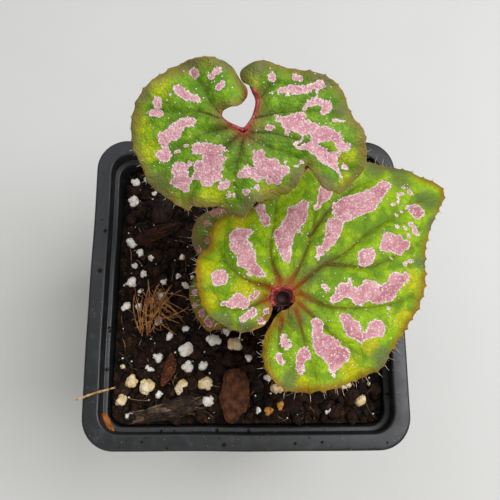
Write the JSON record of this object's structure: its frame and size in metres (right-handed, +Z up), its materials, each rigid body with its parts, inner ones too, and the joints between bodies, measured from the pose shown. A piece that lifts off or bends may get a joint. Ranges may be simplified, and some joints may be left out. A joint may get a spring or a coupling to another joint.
{
  "type": "potted begonia",
  "caption": "Small begonia with heart-shaped green leaves blotched pink, on red stalks, in a black square nursery pot of bark and perlite soil.",
  "frame": {"origin": "middle of the flat underside of the pot, on the surface that it stands on", "axes": "+Z up; +Y to the rear, away from the viewer of the picture; +X to the right"},
  "size_m": [0.0982, 0.09, 0.1387],
  "materials": {
    "pot_plastic": "black injection-moulded polypropylene, semi-matt, dusty",
    "soil_mix": "moist peat and bark mix with perlite, rough",
    "leaf_blade": "green leaf with pink blotches, satin, faintly hairy",
    "leaf_stalk": "red hairy stalk, satin",
    "rhizome_skin": "brown scarred creeping stem, dull",
    "bark": "composted pine bark, rough",
    "coir_fibre": "coconut fibre, dull",
    "dry_straw": "dry plant fibre"
  },
  "bodies": {
    "root": {"pot": "pot_plastic", "soil": "soil_mix", "rhizome": "rhizome_skin", "petiole_a": "leaf_stalk", "petiole_b": "leaf_stalk", "petiole_c": "leaf_stalk", "petiole_d": "leaf_stalk", "blade_a": "leaf_blade", "blade_b": "leaf_blade", "blade_c": "leaf_blade", "blade_d": "leaf_blade", "bark_slab": "bark", "bark_splinter": "bark", "bark_flake": "bark", "bark_strip": "bark", "bark_lump": "bark", "coir_tuft": "coir_fibre", "straw": "dry_straw"}
  },
  "joints": []
}
